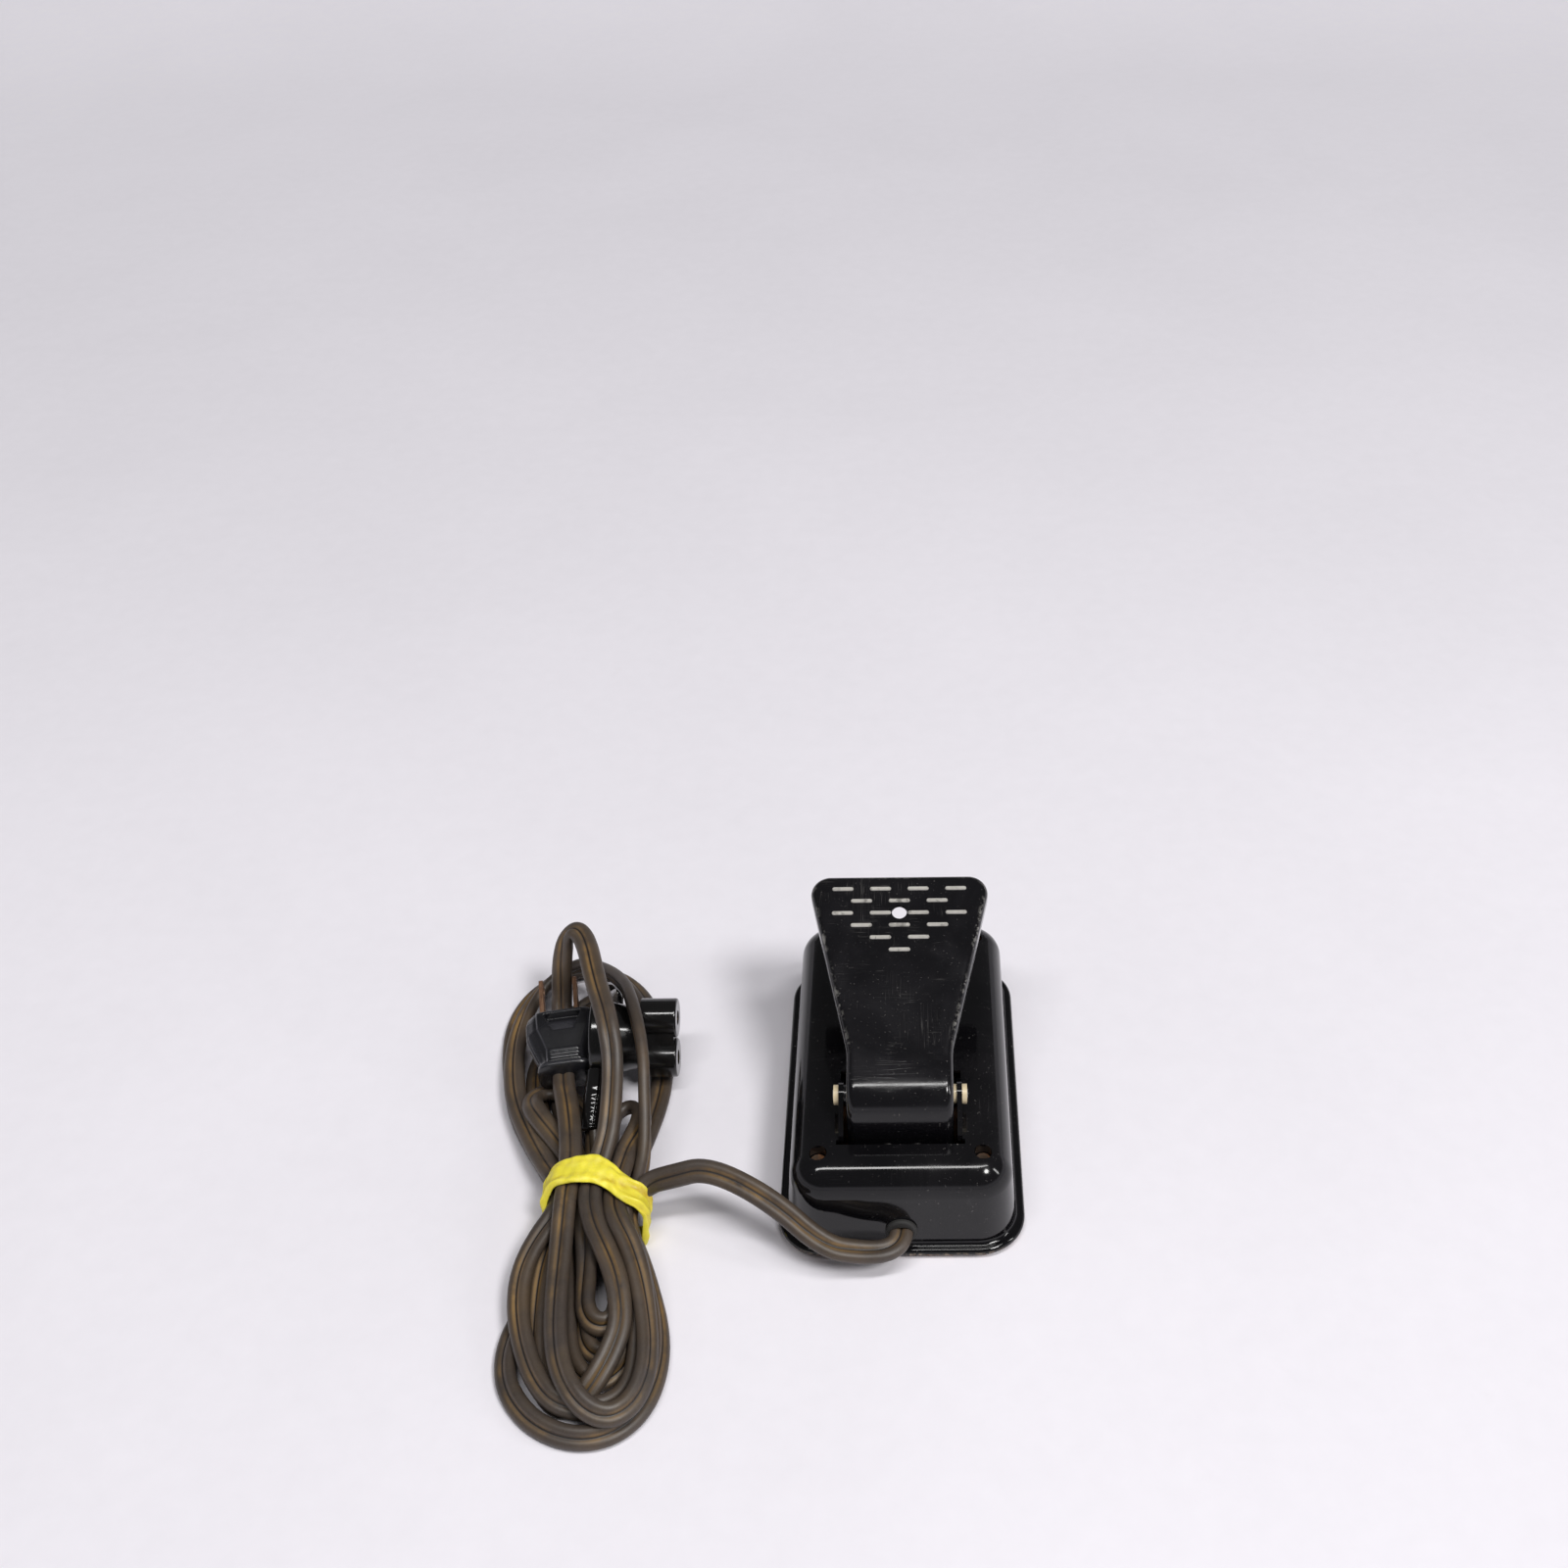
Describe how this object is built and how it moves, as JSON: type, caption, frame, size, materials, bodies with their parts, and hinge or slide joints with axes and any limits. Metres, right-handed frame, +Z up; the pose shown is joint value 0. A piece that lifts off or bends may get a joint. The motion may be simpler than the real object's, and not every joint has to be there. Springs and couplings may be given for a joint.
{
  "type": "sewing machine foot pedal",
  "caption": "Black enamelled steel foot pedal with a rocking treadle, stepped speed controller inside, twin flex in a tied hank, machine connector and two-blade plug.",
  "frame": {"origin": "on the floor under the centre of the case, at the bottom centre of the bounding box without the cord nodes", "axes": "+Z up, +Y from the cord end towards the raised end of the treadle, +X to the right when looking along +Y"},
  "size_m": [0.1975, 0.238, 0.0797],
  "materials": {
    "black_enamel": "glossy black stoved enamel, worn at the rims",
    "plate_steel": "thin black paint on sheet steel",
    "zinc_steel": "dull plated steel",
    "rusty_steel": "rusted screw heads",
    "spring_steel": "dark drawn wire",
    "black_rubber": "matt black rubber",
    "yellow_rubber": "bright yellow rubber band",
    "cream_plastic": "cream moulding",
    "black_plastic": "black moulding, satin",
    "bakelite": "glossy black phenolic moulding",
    "board_brown": "brown laminated board",
    "brass": "tarnished brass",
    "bronze": "bronze strip and wire",
    "copper_blade": "copper coloured blades",
    "carbon": "carbon brush",
    "ceramic": "unglazed ceramic",
    "brown_flex": "brown vinyl twin flex"
  },
  "bodies": {
    "case": {"base_plate": "plate_steel", "cover_shell": "black_enamel", "cover_pillars": "zinc_steel", "cover_screws": "rusty_steel", "rubber_feet": "black_rubber", "pivot_bushes": "cream_plastic", "side_washer_right": "cream_plastic", "side_washer_left": "black_plastic", "return_spring": "spring_steel", "contact_board": "board_brown", "board_spacers": "brass", "contact_studs": "brass", "arm_pivot": "brass", "resistor_former": "ceramic", "resistance_winding": "bronze", "resistor_brackets": "zinc_steel", "resistor_rod": "zinc_steel", "resistor_nuts": "zinc_steel", "cord_grommet": "black_rubber", "clamp_post": "bakelite", "clamp_strap": "zinc_steel", "clamp_screws": "brass", "terminal_block": "bakelite", "terminal_screws": "brass", "pedal_lead": "brown_flex", "cord_hank": "brown_flex", "rubber_band": "yellow_rubber", "machine_connector": "bakelite", "connector_contacts": "brass", "mains_plug": "black_plastic", "plug_blades": "copper_blade"},
    "treadle_body": {"treadle": "black_enamel", "pivot_pin": "zinc_steel", "spring_cup": "black_plastic", "crank_arm": "zinc_steel", "crank_rivets": "zinc_steel"},
    "contact_arm": {"contact_hub": "bakelite", "contact_blade": "bronze", "contact_brush": "carbon"}
  },
  "joints": [
    {"name": "treadle_hinge", "type": "hinge", "parent": "case", "child": "treadle_body", "pos_m": [0, -0.0334, 0.044], "axis": [-1, 0, 0], "range_deg": [0, 12], "stiffness_Nm_per_rad": 1.2, "springref_deg": -17.19, "deforming": ["return_spring"]},
    {"name": "contact_arm_hinge", "type": "hinge", "parent": "case", "child": "contact_arm", "pos_m": [0, -0.0334, 0.012], "axis": [0, 0, -1], "range_deg": [0, 34.8]}
  ],
  "couplings": [
    {"joint": "contact_arm_hinge", "follows": "treadle_hinge", "ratio": 2.9}
  ]
}
